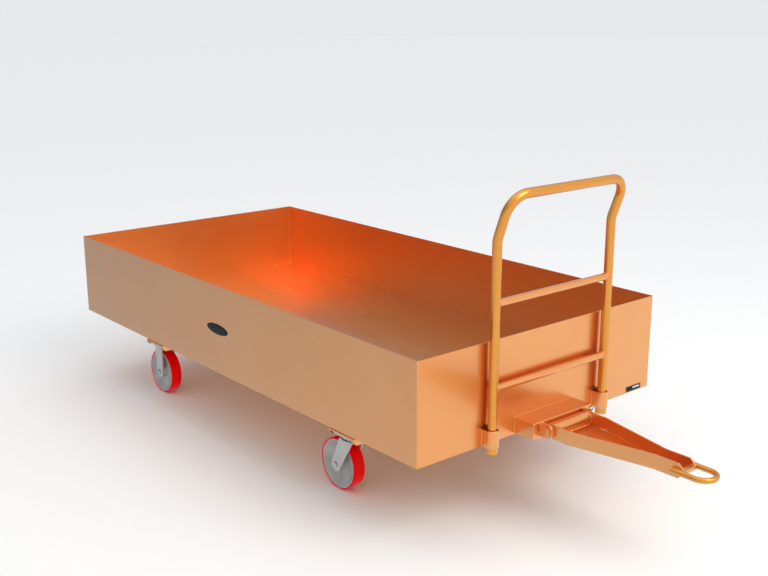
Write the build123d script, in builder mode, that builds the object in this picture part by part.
from build123d import *
import os

# Deep-sided platform truck for towing and pushing: a welded sheet-steel box on two
# bolsters, swivel casters under the tongue end, rigid casters under the far end,
# a lift-out pipe push handle and a hinged drawbar with a tow ring.
# Frame: +X towards the drawbar, +Y to the truck's left, +Z up, millimetres.
# Origin: on the floor, midway along the overall length, on the truck's centre line.

# Load box
box_length = 2438.4
box_width = 1219.2
wall_height = 370.0
wall_thickness = 3.0
wall_corner_radius = 6.0
deck_thickness = 3.0
panel_skirt = 60.15

# Underframe
sill_height = 127.0
sill_flange = 44.5
sill_thickness = 6.35
sill_end_setback = 130.0
sill_inset = 209.6
cross_member_height = 76.2
cross_member_flange = 38.0
cross_member_thickness = 4.0
cross_member_count = 5
cross_member_end_inset = 90.0
bolster_plate_gap = 12.7
bolster_depth = 25.4
bolster_thickness = 6.35
bolster_overhang = 52.0
bolster_corner = 12.0

# Casters
front_caster_inset = 525.2
rear_caster_inset = 492.2
caster_side_inset = 147.1
swivel_trail = 58.0
plate_length = 114.3
plate_width = 101.6
plate_thickness = 6.35
plate_corner_radius = 8.0
bolt_inset_x = 11.1
bolt_inset_y = 17.45
bolt_diameter = 9.525
bolt_clearance = 0.4
bolt_head_height = 6.4
bolt_head_flats = 14.3
nut_height = 8.0
bolt_tail = 2.0
leg_thickness = 6.35
leg_end_radius = 26.0
swivel_leg_top = 70.0
rigid_leg_top = 56.0
rigid_leg_root = 9.0
crown_thickness = 8.0
crown_margin = 9.0
ball_diameter = 9.525
ball_pitch_radius = 33.0
ball_count = 16
ball_clearance = 0.05
ball_sink = 0.25
race_margin = 7.0
race_thickness = 8.925
wheel_crown_gap = 5.8
kingpin_diameter = 15.875
kingpin_head_radius = 13.0
kingpin_head_depth = 4.0
kingpin_nut_flats = 23.8
kingpin_nut_height = 10.0
kingpin_end_play = 0.3

# Wheels
wheel_diameter = 203.2
wheel_width = 50.8
tread_thickness = 6.0
tread_edge = 2.5
core_rim_inset = 1.4
core_lip = 5.0
core_rim_depth = 25.6
core_web_thickness = 14.0
core_dish_fillet = 14.0
core_hub_fillet = 5.0
hub_taper = 5.0
hub_radius = 25.0
hub_proud = 2.4
hub_side_play = 0.8
bearing_outer_radius = 15.08
sleeve_radius = 9.525
roller_count = 12
roller_clearance = 0.02
roller_end_gap = 2.0
axle_diameter = 12.7
axle_head_flats = 19.05
axle_head_height = 8.0
axle_nut_height = 11.0
axle_tail = 3.0

# Push handle and its sockets
handle_pipe_diameter = 33.4
handle_pipe_wall = 3.38
handle_spacing = 581.0
handle_wall_gap = 4.3
handle_kink_height = 722.0
handle_upper_rise = 153.0
handle_lean = 55.6
handle_bend_radius = 76.0
rung_diameter = 26.7
rung_wall = 2.87
rung_heights = {"lower": 208.0, "upper": 507.0}
socket_wall = 3.58
socket_clearance = 0.82
socket_below = 23.0
socket_above = 50.0
socket_floor = 5.0
socket_drain_radius = 6.0
strap_thickness = 3.0
strap_height = 62.0

# Hitch and drawbar
hitch_width = 304.8
hitch_depth = 88.9
hitch_margin = 4.6
hitch_bottom = 5.0
hitch_thickness = 6.35
hitch_edge_radius = 4.0
knuckle_length = 14.0
knuckle_gap = 1.9
knuckle_side_gap = 1.0
hinge_pin_diameter = 25.4
hinge_clearance = 0.05
hinge_head_margin = 4.3
hinge_head_thickness = 6.0
hinge_tail = 16.0
hinge_washer_thickness = 3.0
hinge_washer_margin = 7.3
cotter_diameter = 4.8
cotter_stick_out = 10.3
cotter_eye_radius = 7.0
cotter_clearance = 0.1
tongue_height = 50.8
tongue_thickness = 6.35
tongue_root_half = 100.0
tongue_tip_half = 35.0
tongue_bend_start = 84.0
tongue_bend_end = 384.0
tongue_length = 499.0
tongue_nose_run = 21.0
web_gap = 1.0
web_end = 470.0
relief_start = 66.0
relief_length = 42.0
relief_width = 9.0
nose_bar_height = 14.0
nose_bar_length = 20.0
nose_proud = 2.0
ring_bar_diameter = 19.05
ring_center = 543.5
ring_leg_start = 459.0

# Name plate on the front wall
label_width = 90.0
label_height = 22.0
label_thickness = 1.0
label_corner = 2.0
label_side_inset = 91.6
label_bottom = 4.0

# Derived heights, from the floor up
wheel_radius = wheel_diameter / 2
crown_under = wheel_diameter + wheel_crown_gap
crown_top = crown_under + crown_thickness
race_under = crown_top + ball_diameter - 2 * ball_sink
ball_z = (crown_top + race_under) / 2
plate_under = race_under + race_thickness
nut_under = plate_under - nut_height
caster_height = plate_under + plate_thickness
bolster_top = caster_height + bolster_thickness
sill_top = bolster_top + sill_height
deck_top = sill_top + deck_thickness
box_bottom = deck_top - panel_skirt

# Derived places of the underframe
sill_outer_offset = box_width / 2 - sill_inset
sill_inner_offset = sill_outer_offset - sill_flange
front_caster_x = box_length / 2 - front_caster_inset
rear_caster_x = box_length / 2 - rear_caster_inset
caster_track_half = box_width / 2 - caster_side_inset
bolster_width = plate_length + 2 * (bolster_plate_gap + bolster_thickness)
bolster_half = caster_track_half + bolster_overhang

# Derived lengths along the truck
front_wall = box_length / 2
knuckle_radius = tongue_height / 2
hitch_front = front_wall + hitch_depth
pivot_from_center = hitch_front + knuckle_gap + knuckle_radius
ring_bar_radius = ring_bar_diameter / 2
ring_half = tongue_tip_half + ring_bar_radius
front_reach = pivot_from_center + ring_center + ring_half + ring_bar_radius
box_x = (front_wall - front_reach) / 2
pivot_x = box_x + pivot_from_center
hitch_height = tongue_height + 2 * hitch_margin
pivot_z = box_bottom + hitch_bottom + hitch_height / 2
wall_x = box_x + front_wall

# Derived fits
inner_length = box_length - 2 * wall_thickness
inner_width = box_width - 2 * wall_thickness
bolt_spacing_x = plate_length - 2 * bolt_inset_x
bolt_spacing_y = plate_width - 2 * bolt_inset_y
bolt_hole_radius = (bolt_diameter + bolt_clearance) / 2
race_radius = ball_pitch_radius + race_margin
crown_radius = ball_pitch_radius + crown_margin
half_rim = wheel_width / 2 - core_rim_inset
half_hub = wheel_width / 2 + hub_proud
sleeve_half = half_hub + hub_side_play
leg_outer = sleeve_half + leg_thickness
pin_bore_radius = hinge_pin_diameter / 2 + hinge_clearance
post_radius = handle_pipe_diameter / 2
post_y = handle_spacing / 2
socket_bore_radius = post_radius + socket_clearance
socket_radius = socket_bore_radius + socket_wall
handle_standoff = socket_radius + handle_wall_gap
post_x = wall_x + handle_standoff
socket_foot = box_bottom - socket_below
post_foot = socket_foot + socket_floor
axle_bore_radius = (axle_diameter + bolt_clearance) / 2
core_radius = wheel_radius - tread_thickness
core_dish_radius = core_radius - core_rim_depth
groove_radius = ball_diameter / 2 + ball_clearance
roller_radius = (bearing_outer_radius - sleeve_radius) / 2 - roller_clearance
roller_pitch = (bearing_outer_radius + sleeve_radius) / 2
knuckle_start = tongue_root_half + knuckle_side_gap
knuckle_end = knuckle_start + knuckle_length
tongue_bottom = pivot_z - knuckle_radius
tube_foot = (knuckle_radius**2 - (knuckle_radius - tongue_thickness) ** 2) ** 0.5
web_start = tube_foot + web_gap

sides = {"left": 1, "right": -1}
ends = {"front": front_caster_x, "rear": -rear_caster_x}
plate_centers = {
    (end, side): (box_x + reach, sign * caster_track_half)
    for end, reach in ends.items()
    for side, sign in sides.items()
}


def bolt_points(center):
    """The four bolt centres of one caster plate."""
    return [
        (center[0] + dx * bolt_spacing_x / 2, center[1] + dy * bolt_spacing_y / 2)
        for dx in (-1, 1)
        for dy in (-1, 1)
    ]


def axle_center(end, side):
    """Where one wheel's axle crosses the wheel's middle plane."""
    x, y = plate_centers[end, side]
    trail = swivel_trail if end == "front" else 0
    return (x - trail, y, wheel_radius)


def side_plane(center):
    """A plane that faces the truck's right, with local x forward and local y up."""
    return Plane(origin=center, x_dir=(1, 0, 0), z_dir=(0, -1, 0))


def radial_plane(center):
    """A plane through an axle, with local x along the axle and local y up."""
    return Plane(origin=center, x_dir=(0, 1, 0), z_dir=(1, 0, 0))


def save(builder, name):
    """Label a finished piece and write it to its own STEP file."""
    builder.part.label = name
    export_step(builder.part, f"parts/{name}.step")


os.makedirs("parts", exist_ok=True)

# Deck: the floor of the box, inside the four walls
with BuildPart() as deck_plate:
    with BuildSketch(Plane.XY.offset(sill_top)):
        with Locations((box_x, 0)):
            RectangleRounded(inner_length, inner_width, wall_corner_radius - wall_thickness)
    extrude(amount=deck_thickness)
save(deck_plate, "deck_plate")

# Side panels carry the rounded vertical corners of the box
for side, sign in sides.items():
    with BuildPart() as side_panel:
        with BuildSketch(Plane.XY.offset(box_bottom)):
            with Locations((box_x, 0)):
                RectangleRounded(box_length, box_width, wall_corner_radius)
                RectangleRounded(
                    inner_length,
                    inner_width,
                    wall_corner_radius - wall_thickness,
                    mode=Mode.SUBTRACT,
                )
            with Locations((box_x, sign * (box_width - wall_corner_radius) / 2)):
                Rectangle(box_length, wall_corner_radius, mode=Mode.INTERSECT)
        extrude(amount=wall_height)
    save(side_panel, f"side_panel_{side}")

# End panels are flat sheets between the side panels' corners
for end, sign in {"front": 1, "rear": -1}.items():
    with BuildPart() as end_panel:
        with BuildSketch(Plane.XY.offset(box_bottom)):
            with Locations((box_x + sign * (box_length - wall_thickness) / 2, 0)):
                Rectangle(wall_thickness, box_width - 2 * wall_corner_radius)
        extrude(amount=wall_height)
    save(end_panel, f"end_panel_{end}")

# Sills: two channels under the deck, flanges outward, resting on the bolsters
for side, sign in sides.items():
    with BuildPart() as sill:
        with BuildSketch(Plane.YZ.offset(box_x)):
            with Locations((sign * (sill_outer_offset + sill_inner_offset) / 2, bolster_top + sill_height / 2)):
                Rectangle(sill_flange, sill_height)
            with Locations((sign * (sill_outer_offset + sill_inner_offset + sill_thickness) / 2,
                            bolster_top + sill_height / 2)):
                Rectangle(
                    sill_flange - sill_thickness,
                    sill_height - 2 * sill_thickness,
                    mode=Mode.SUBTRACT,
                )
        extrude(amount=box_length / 2 - sill_end_setback, both=True)
    save(sill, f"sill_{side}")

# Cross members: channels between the sills, flush under the deck
cross_member_reach = box_length / 2 - sill_end_setback - cross_member_end_inset
cross_member_step = 2 * cross_member_reach / (cross_member_count - 1)
with BuildPart() as cross_members:
    with BuildSketch(Plane.XZ):
        for index in range(cross_member_count):
            member_x = box_x - cross_member_reach + index * cross_member_step
            with Locations((member_x, sill_top - cross_member_height / 2)):
                Rectangle(cross_member_flange, cross_member_height)
            with Locations((member_x + cross_member_thickness / 2, sill_top - cross_member_height / 2)):
                Rectangle(
                    cross_member_flange - cross_member_thickness,
                    cross_member_height - 2 * cross_member_thickness,
                    mode=Mode.SUBTRACT,
                )
    extrude(amount=sill_inner_offset, both=True)
save(cross_members, "cross_members")

# Bolsters: shallow channels, open downward, that the caster plates bolt into
for end, reach in ends.items():
    bolster_x = box_x + reach
    with BuildPart() as bolster:
        with BuildSketch(Plane.XZ):
            with Locations((bolster_x, bolster_top - bolster_depth / 2)):
                Rectangle(bolster_width, bolster_depth)
            with Locations((bolster_x, caster_height - bolster_depth / 2)):
                Rectangle(bolster_width - 2 * bolster_thickness, bolster_depth, mode=Mode.SUBTRACT)
        extrude(amount=bolster_half, both=True)
        chamfer(bolster.edges().filter_by(Axis.X).group_by(Axis.Z)[0], length=bolster_corner)
        with BuildSketch(Plane.XY.offset(caster_height)):
            with Locations(*bolt_points(plate_centers[end, "left"]), *bolt_points(plate_centers[end, "right"])):
                Circle(bolt_hole_radius)
        extrude(amount=bolster_thickness, mode=Mode.SUBTRACT)
    save(bolster, f"bolster_{end}")

# Caster bolts and nuts, four to a plate, heads on top of the bolster web
all_bolt_points = [point for center in plate_centers.values() for point in bolt_points(center)]
with BuildPart() as caster_bolts:
    with BuildSketch(Plane.XY.offset(bolster_top)):
        with Locations(*all_bolt_points):
            RegularPolygon(bolt_head_flats / 2, 6, major_radius=False)
    extrude(amount=bolt_head_height)
    with BuildSketch(Plane.XY.offset(bolster_top)):
        with Locations(*all_bolt_points):
            Circle(bolt_diameter / 2)
    extrude(amount=nut_under - bolt_tail - bolster_top)
save(caster_bolts, "caster_bolts")

with BuildPart() as caster_nuts:
    with BuildSketch(Plane.XY.offset(nut_under)):
        with Locations(*all_bolt_points):
            RegularPolygon(bolt_head_flats / 2, 6, major_radius=False)
            Circle(bolt_diameter / 2, mode=Mode.SUBTRACT)
    extrude(amount=nut_height)
save(caster_nuts, "caster_nuts")

# Rigid casters: a plate and two straight legs welded into one fork
for side in sides:
    center = plate_centers["rear", side]
    axle = axle_center("rear", side)
    with BuildPart() as rear_fork:
        with BuildSketch(Plane.XY.offset(plate_under)):
            with Locations(center):
                RectangleRounded(plate_length, plate_width, plate_corner_radius)
            with Locations(*bolt_points(center)):
                Circle(bolt_hole_radius, mode=Mode.SUBTRACT)
        extrude(amount=plate_thickness)
        with BuildSketch(side_plane(axle)):
            Circle(leg_end_radius)
            with Locations((0, plate_under - wheel_radius - rigid_leg_root / 2)):
                Rectangle(rigid_leg_top, rigid_leg_root)
            make_hull()
        extrude(amount=leg_outer, both=True)
        with BuildSketch(radial_plane(axle)):
            with Locations((0, (plate_under - wheel_radius) / 2 - leg_end_radius)):
                Rectangle(2 * sleeve_half, plate_under - wheel_radius + 2 * leg_end_radius)
        extrude(amount=plate_length, both=True, mode=Mode.SUBTRACT)
        with BuildSketch(side_plane(axle)):
            Circle(axle_bore_radius)
        extrude(amount=leg_outer, both=True, mode=Mode.SUBTRACT)
    save(rear_fork, f"rear_fork_{side}")

# Swivel casters: fixed top plate with the upper ball race
for side in sides:
    center = plate_centers["front", side]
    with BuildPart() as top_plate:
        with BuildSketch(Plane.XY.offset(plate_under)):
            with Locations(center):
                RectangleRounded(plate_length, plate_width, plate_corner_radius)
            with Locations(*bolt_points(center)):
                Circle(bolt_hole_radius, mode=Mode.SUBTRACT)
        extrude(amount=plate_thickness)
        with BuildSketch(Plane.XY.offset(race_under)):
            with Locations(center):
                Circle(race_radius)
        extrude(amount=plate_under - race_under)
        with BuildSketch(Plane.XY.offset(race_under)):
            with Locations(center):
                Circle(kingpin_diameter / 2)
        extrude(amount=caster_height - race_under, mode=Mode.SUBTRACT)
        with BuildSketch(Plane.XY.offset(caster_height - kingpin_head_depth)):
            with Locations(center):
                Circle(kingpin_head_radius)
        extrude(amount=kingpin_head_depth, mode=Mode.SUBTRACT)
        with BuildSketch(Plane.XZ.offset(-center[1])):
            with Locations((center[0] + ball_pitch_radius, ball_z)):
                Circle(groove_radius)
        revolve(axis=Axis((center[0], center[1], 0), (0, 0, 1)), mode=Mode.SUBTRACT)
    save(top_plate, f"front_top_plate_{side}")

    with BuildPart() as swivel_balls:
        with Locations((center[0], center[1], ball_z)):
            with PolarLocations(ball_pitch_radius, ball_count):
                Sphere(ball_diameter / 2)
    save(swivel_balls, f"swivel_balls_{side}")

    # Kingpin: countersunk in the plate, with its nut under the crown
    with BuildPart() as kingpin:
        with BuildSketch(Plane.XY.offset(caster_height)):
            with Locations(center):
                Circle(kingpin_head_radius)
        extrude(amount=-kingpin_head_depth)
        with BuildSketch(Plane.XY.offset(caster_height)):
            with Locations(center):
                Circle(kingpin_diameter / 2)
        extrude(amount=crown_under - kingpin_end_play - kingpin_nut_height - caster_height)
        with BuildSketch(Plane.XY.offset(crown_under - kingpin_end_play)):
            with Locations(center):
                RegularPolygon(kingpin_nut_flats / 2, 6, major_radius=False)
        extrude(amount=-kingpin_nut_height)
    save(kingpin, f"kingpin_{side}")

    # Swivel fork: a round crown with two legs that trail back to the axle
    with BuildPart() as front_fork:
        with BuildSketch(Plane.XY.offset(crown_under)):
            with Locations(center):
                Circle(crown_radius)
        extrude(amount=crown_thickness)
        with BuildSketch(side_plane((center[0], center[1], wheel_radius))):
            with Locations((-swivel_trail, 0)):
                Circle(leg_end_radius)
            with Locations((0, (crown_under + crown_top) / 2 - wheel_radius)):
                Rectangle(swivel_leg_top, crown_thickness)
            make_hull()
        extrude(amount=leg_outer, both=True)
        with BuildSketch(radial_plane((center[0], center[1], crown_under))):
            with Locations((0, -crown_under / 2)):
                Rectangle(2 * sleeve_half, crown_under)
        extrude(amount=plate_length + swivel_trail, both=True, mode=Mode.SUBTRACT)
        with BuildSketch(Plane.XZ.offset(-center[1])):
            with Locations((center[0] + ball_pitch_radius, ball_z)):
                Circle(groove_radius)
        revolve(axis=Axis((center[0], center[1], 0), (0, 0, 1)), mode=Mode.SUBTRACT)
        with BuildSketch(Plane.XY.offset(crown_under)):
            with Locations(center):
                Circle(kingpin_diameter / 2 + ball_clearance)
        extrude(amount=crown_thickness, mode=Mode.SUBTRACT)
        with BuildSketch(side_plane(axle_center("front", side))):
            Circle(axle_bore_radius)
        extrude(amount=leg_outer, both=True, mode=Mode.SUBTRACT)
    save(front_fork, f"front_fork_{side}")


# Axle hardware: each rear node holds the pair, each front node rides on its own fork
axle_groups = {
    "rear_axle_{}s": [axle_center("rear", side) for side in sides],
    "front_axle_{}_left": [axle_center("front", "left")],
    "front_axle_{}_right": [axle_center("front", "right")],
}
for pattern, axles in axle_groups.items():
    with BuildPart() as axle_bolt:
        for axle in axles:
            with BuildSketch(side_plane(axle).offset(leg_outer)):
                RegularPolygon(axle_head_flats / 2, 6, major_radius=False)
            extrude(amount=axle_head_height)
            with BuildSketch(side_plane(axle).offset(leg_outer)):
                Circle(axle_diameter / 2)
            extrude(amount=-2 * leg_outer - axle_nut_height - axle_tail)
    save(axle_bolt, pattern.format("bolt"))

    with BuildPart() as axle_nut:
        for axle in axles:
            with BuildSketch(side_plane(axle).offset(-leg_outer)):
                RegularPolygon(axle_head_flats / 2, 6, major_radius=False)
                Circle(axle_diameter / 2, mode=Mode.SUBTRACT)
            extrude(amount=-axle_nut_height)
    save(axle_nut, pattern.format("nut"))

    with BuildPart() as axle_sleeve:
        for axle in axles:
            with BuildSketch(side_plane(axle)):
                Circle(sleeve_radius)
                Circle(axle_bore_radius, mode=Mode.SUBTRACT)
            extrude(amount=sleeve_half, both=True)
    save(axle_sleeve, pattern.format("sleeve"))

# Wheels: a dished cast core, a moulded tread and a roller bearing round the sleeve
half_web = core_web_thickness / 2
core_side = [
    (half_rim, core_radius),
    (half_rim, core_radius - core_lip),
    (half_web, core_dish_radius),
    (half_web, hub_radius + hub_taper),
    (half_hub, hub_radius),
    (half_hub, bearing_outer_radius),
]
core_outline = core_side + [(-x, y) for x, y in reversed(core_side)]
for end, side in plate_centers:
    axle = axle_center(end, side)
    axle_line = Axis(axle, (0, 1, 0))

    with BuildPart() as tread:
        with BuildSketch(radial_plane(axle)):
            with Locations((0, wheel_radius - tread_thickness / 2)):
                Rectangle(wheel_width, tread_thickness)
            fillet(vertices().group_by(Axis.Y)[-1], tread_edge)
        revolve(axis=axle_line)
    save(tread, f"{end}_{side}_tread")

    with BuildPart() as wheel_core:
        with BuildSketch(radial_plane(axle)):
            with BuildLine():
                Polyline(*core_outline, close=True)
            make_face()
            web_corners = vertices().filter_by(lambda v: abs(v.X) < half_web + ball_clearance)
            fillet(web_corners.group_by(Axis.Y)[-1], core_dish_fillet)
            web_corners = vertices().filter_by(lambda v: abs(v.X) < half_web + ball_clearance)
            fillet(web_corners.group_by(Axis.Y)[0], core_hub_fillet)
        revolve(axis=axle_line)
    save(wheel_core, f"{end}_{side}_wheel_core")

    with BuildPart() as roller_bearing:
        with BuildSketch(side_plane(axle)):
            with PolarLocations(roller_pitch, roller_count):
                Circle(roller_radius)
        extrude(amount=half_hub - roller_end_gap, both=True)
    save(roller_bearing, f"{end}_{side}_roller_bearing")

# Handle sockets: a short pipe with a floor, held to the front wall by a strap
for side, sign in sides.items():
    post = (post_x, sign * post_y)
    with BuildPart() as socket_pipe:
        with BuildSketch(Plane.XY.offset(socket_foot)):
            with Locations(post):
                Circle(socket_radius)
                Circle(socket_bore_radius, mode=Mode.SUBTRACT)
        extrude(amount=socket_below + socket_above)
        with BuildSketch(Plane.XY.offset(socket_foot)):
            with Locations(post):
                Circle(socket_radius)
                Circle(socket_drain_radius, mode=Mode.SUBTRACT)
        extrude(amount=socket_floor)
    save(socket_pipe, f"socket_pipe_{side}")

    with BuildPart() as socket_strap:
        with BuildSketch(Plane.XY.offset(box_bottom)):
            for grow, mode in ((strap_thickness, Mode.ADD), (0, Mode.SUBTRACT)):
                with Locations(post):
                    Circle(socket_radius + grow, mode=mode)
                with Locations((wall_x + handle_standoff / 2, post[1])):
                    Rectangle(handle_standoff, 2 * (socket_radius + grow), mode=mode)
        extrude(amount=strap_height)
    save(socket_strap, f"socket_strap_{side}")

# Push handle: one bent pipe standing in the sockets, and two rungs between its posts
kink_z = box_bottom + handle_kink_height
top_z = kink_z + handle_upper_rise
hoop_points = [
    (post_x, -post_y, post_foot),
    (post_x, -post_y, kink_z),
    (post_x + handle_lean, -post_y, top_z),
    (post_x + handle_lean, post_y, top_z),
    (post_x, post_y, kink_z),
    (post_x, post_y, post_foot),
]
with BuildPart() as handle_hoop:
    with BuildLine() as hoop_path:
        FilletPolyline(*hoop_points, radius=handle_bend_radius)
    for run in hoop_path.edges():
        with BuildSketch(Plane(origin=run @ 0, z_dir=run % 0)):
            Circle(post_radius)
            Circle(post_radius - handle_pipe_wall, mode=Mode.SUBTRACT)
        sweep(path=run)
save(handle_hoop, "handle_hoop")

for level, height in rung_heights.items():
    with BuildPart() as rung:
        with BuildSketch(Plane.XZ):
            with Locations((post_x, box_bottom + height)):
                Circle(rung_diameter / 2)
                Circle(rung_diameter / 2 - rung_wall, mode=Mode.SUBTRACT)
        extrude(amount=post_y, both=True)
        with BuildSketch(Plane.XY.offset(box_bottom + height - rung_diameter)):
            with Locations((post_x, post_y), (post_x, -post_y)):
                Circle(post_radius)
        extrude(amount=2 * rung_diameter, mode=Mode.SUBTRACT)
    save(rung, f"handle_rung_{level}")

# Hitch box: a fabricated box across the front wall, open only towards the wall
with BuildPart() as hitch_box:
    with BuildSketch(side_plane((wall_x, 0, pivot_z))):
        with Locations((hitch_depth / 2, 0)):
            Rectangle(hitch_depth, hitch_height)
        fillet(vertices().group_by(Axis.X)[-1], hitch_edge_radius)
    extrude(amount=hitch_width / 2, both=True)
    with BuildSketch(side_plane((wall_x, 0, pivot_z))):
        with Locations(((hitch_depth - hitch_thickness) / 2, 0)):
            Rectangle(hitch_depth - hitch_thickness, hitch_height - 2 * hitch_thickness)
    extrude(amount=hitch_width / 2 - hitch_thickness, both=True, mode=Mode.SUBTRACT)
save(hitch_box, "hitch_box")

# Hinge knuckles: a round-ended lug each side of the drawbar, welded to the hitch box
pivot = (pivot_x, 0, pivot_z)
with BuildPart() as hinge_knuckles:
    with BuildSketch(side_plane(pivot)):
        Circle(knuckle_radius)
        with Locations((-(knuckle_radius + knuckle_gap) / 2, 0)):
            Rectangle(knuckle_radius + knuckle_gap, 2 * knuckle_radius)
        Circle(pin_bore_radius, mode=Mode.SUBTRACT)
    extrude(amount=knuckle_end, both=True)
    with BuildSketch(side_plane(pivot)):
        Rectangle(4 * knuckle_radius, 4 * knuckle_radius)
    extrude(amount=knuckle_start, both=True, mode=Mode.SUBTRACT)
save(hinge_knuckles, "hinge_knuckles")

# Hinge pin: headed on the right, washer and cotter on the left
cotter_offset = knuckle_end + hinge_washer_thickness + cotter_diameter / 2
cotter_half = hinge_pin_diameter / 2 + cotter_stick_out
with BuildPart() as hinge_pin:
    with BuildSketch(side_plane(pivot).offset(knuckle_end)):
        Circle(hinge_pin_diameter / 2 + hinge_head_margin)
    extrude(amount=hinge_head_thickness)
    with BuildSketch(side_plane(pivot).offset(knuckle_end)):
        Circle(hinge_pin_diameter / 2)
    extrude(amount=-2 * knuckle_end - hinge_tail)
    with BuildSketch(Plane.XY.offset(pivot_z)):
        with Locations((pivot_x, cotter_offset)):
            Circle(cotter_diameter / 2 + cotter_clearance)
    extrude(amount=hinge_pin_diameter, both=True, mode=Mode.SUBTRACT)
save(hinge_pin, "hinge_pin")

with BuildPart() as hinge_washer:
    with BuildSketch(side_plane(pivot).offset(-knuckle_end)):
        Circle(hinge_pin_diameter / 2 + hinge_washer_margin)
        Circle(pin_bore_radius, mode=Mode.SUBTRACT)
    extrude(amount=-hinge_washer_thickness)
save(hinge_washer, "hinge_washer")

with BuildPart() as hinge_cotter:
    with BuildSketch(Plane.XY.offset(pivot_z - cotter_half)):
        with Locations((pivot_x, cotter_offset)):
            Circle(cotter_diameter / 2)
    extrude(amount=2 * cotter_half)
    with Locations(Location((pivot_x, cotter_offset, pivot_z + cotter_half + cotter_eye_radius), (90, 0, 0))):
        Torus(cotter_eye_radius, cotter_diameter / 2)
save(hinge_cotter, "hinge_cotter")


def tongue_outline(inset, start, stop):
    """The drawbar's plan outline: parallel at the hinge, tapered, then parallel to the nose."""
    root = tongue_root_half - inset
    tip = tongue_tip_half - inset
    left = [
        (pivot_x + start, root),
        (pivot_x + tongue_bend_start, root),
        (pivot_x + tongue_bend_end, tip),
        (pivot_x + stop, tip),
    ]
    return left + [(x, -y) for x, y in reversed(left)]


# Drawbar: a folded channel, open upward, with a round-ended hinge and a cut-back nose
nose_rise = (tongue_height - nose_bar_height) / 2
with BuildPart() as tongue_channel:
    with BuildSketch(Plane.XY.offset(tongue_bottom)):
        with BuildLine():
            Polyline(*tongue_outline(0, -knuckle_radius, tongue_length), close=True)
        make_face()
        with BuildLine():
            Polyline(*tongue_outline(tongue_thickness, -knuckle_radius, tongue_length), close=True)
        make_face(mode=Mode.SUBTRACT)
    extrude(amount=tongue_height)
    with BuildSketch(Plane.XY.offset(tongue_bottom)):
        with BuildLine():
            Polyline(*tongue_outline(tongue_thickness, web_start, web_end), close=True)
        make_face()
        slot_y = tongue_root_half - tongue_thickness - relief_width / 2
        with Locations(
            (pivot_x + relief_start + relief_length / 2, slot_y),
            (pivot_x + relief_start + relief_length / 2, -slot_y),
        ):
            Rectangle(relief_length, relief_width, mode=Mode.SUBTRACT)
    extrude(amount=tongue_thickness)
    with BuildSketch(side_plane(pivot)):
        Circle(tongue_height / 2)
        with BuildLine():
            Polyline(
                (0, -tongue_height / 2),
                (tongue_length - tongue_nose_run, -tongue_height / 2),
                (tongue_length, nose_rise - tongue_height / 2),
                (tongue_length, tongue_height / 2 - nose_rise),
                (tongue_length - tongue_nose_run, tongue_height / 2),
                (0, tongue_height / 2),
                close=True,
            )
        make_face()
    extrude(amount=2 * tongue_root_half, both=True, mode=Mode.INTERSECT)
    with BuildSketch(side_plane(pivot)):
        Circle(pin_bore_radius)
    extrude(amount=2 * tongue_root_half, both=True, mode=Mode.SUBTRACT)
save(tongue_channel, "tongue_channel")

# Hinge tube: welded between the drawbar's flanges, turning on the pin
with BuildPart() as hinge_tube:
    with BuildSketch(side_plane(pivot)):
        Circle(tongue_height / 2)
        Circle(pin_bore_radius, mode=Mode.SUBTRACT)
    extrude(amount=tongue_root_half - tongue_thickness, both=True)
save(hinge_tube, "hinge_tube")

with BuildPart() as nose_bar:
    with BuildSketch(side_plane(pivot)):
        with Locations((tongue_length + nose_proud - nose_bar_length / 2, 0)):
            Rectangle(nose_bar_length, nose_bar_height)
    extrude(amount=tongue_tip_half - tongue_thickness, both=True)
save(nose_bar, "nose_bar")

# Tow ring: a bent round bar, its legs welded along the outside of the drawbar's nose
ring_x = pivot_x + ring_center
ring_foot = pivot_x + ring_leg_start
with BuildPart() as tow_ring:
    with BuildLine() as ring_path:
        Line((ring_foot, -ring_half, pivot_z), (ring_x, -ring_half, pivot_z))
        ThreePointArc(
            (ring_x, -ring_half, pivot_z),
            (ring_x + ring_half, 0, pivot_z),
            (ring_x, ring_half, pivot_z),
        )
        Line((ring_x, ring_half, pivot_z), (ring_foot, ring_half, pivot_z))
    with BuildSketch(Plane.YZ.offset(ring_foot)):
        with Locations((-ring_half, pivot_z)):
            Circle(ring_bar_radius)
    sweep(path=ring_path.line)
save(tow_ring, "tow_ring")

# Name plate, left blank
with BuildPart() as label_plate:
    with BuildSketch(Plane.YZ.offset(wall_x)):
        with Locations((box_width / 2 - label_side_inset, box_bottom + label_bottom + label_height / 2)):
            RectangleRounded(label_width, label_height, label_corner)
    extrude(amount=label_thickness)
save(label_plate, "label_plate")
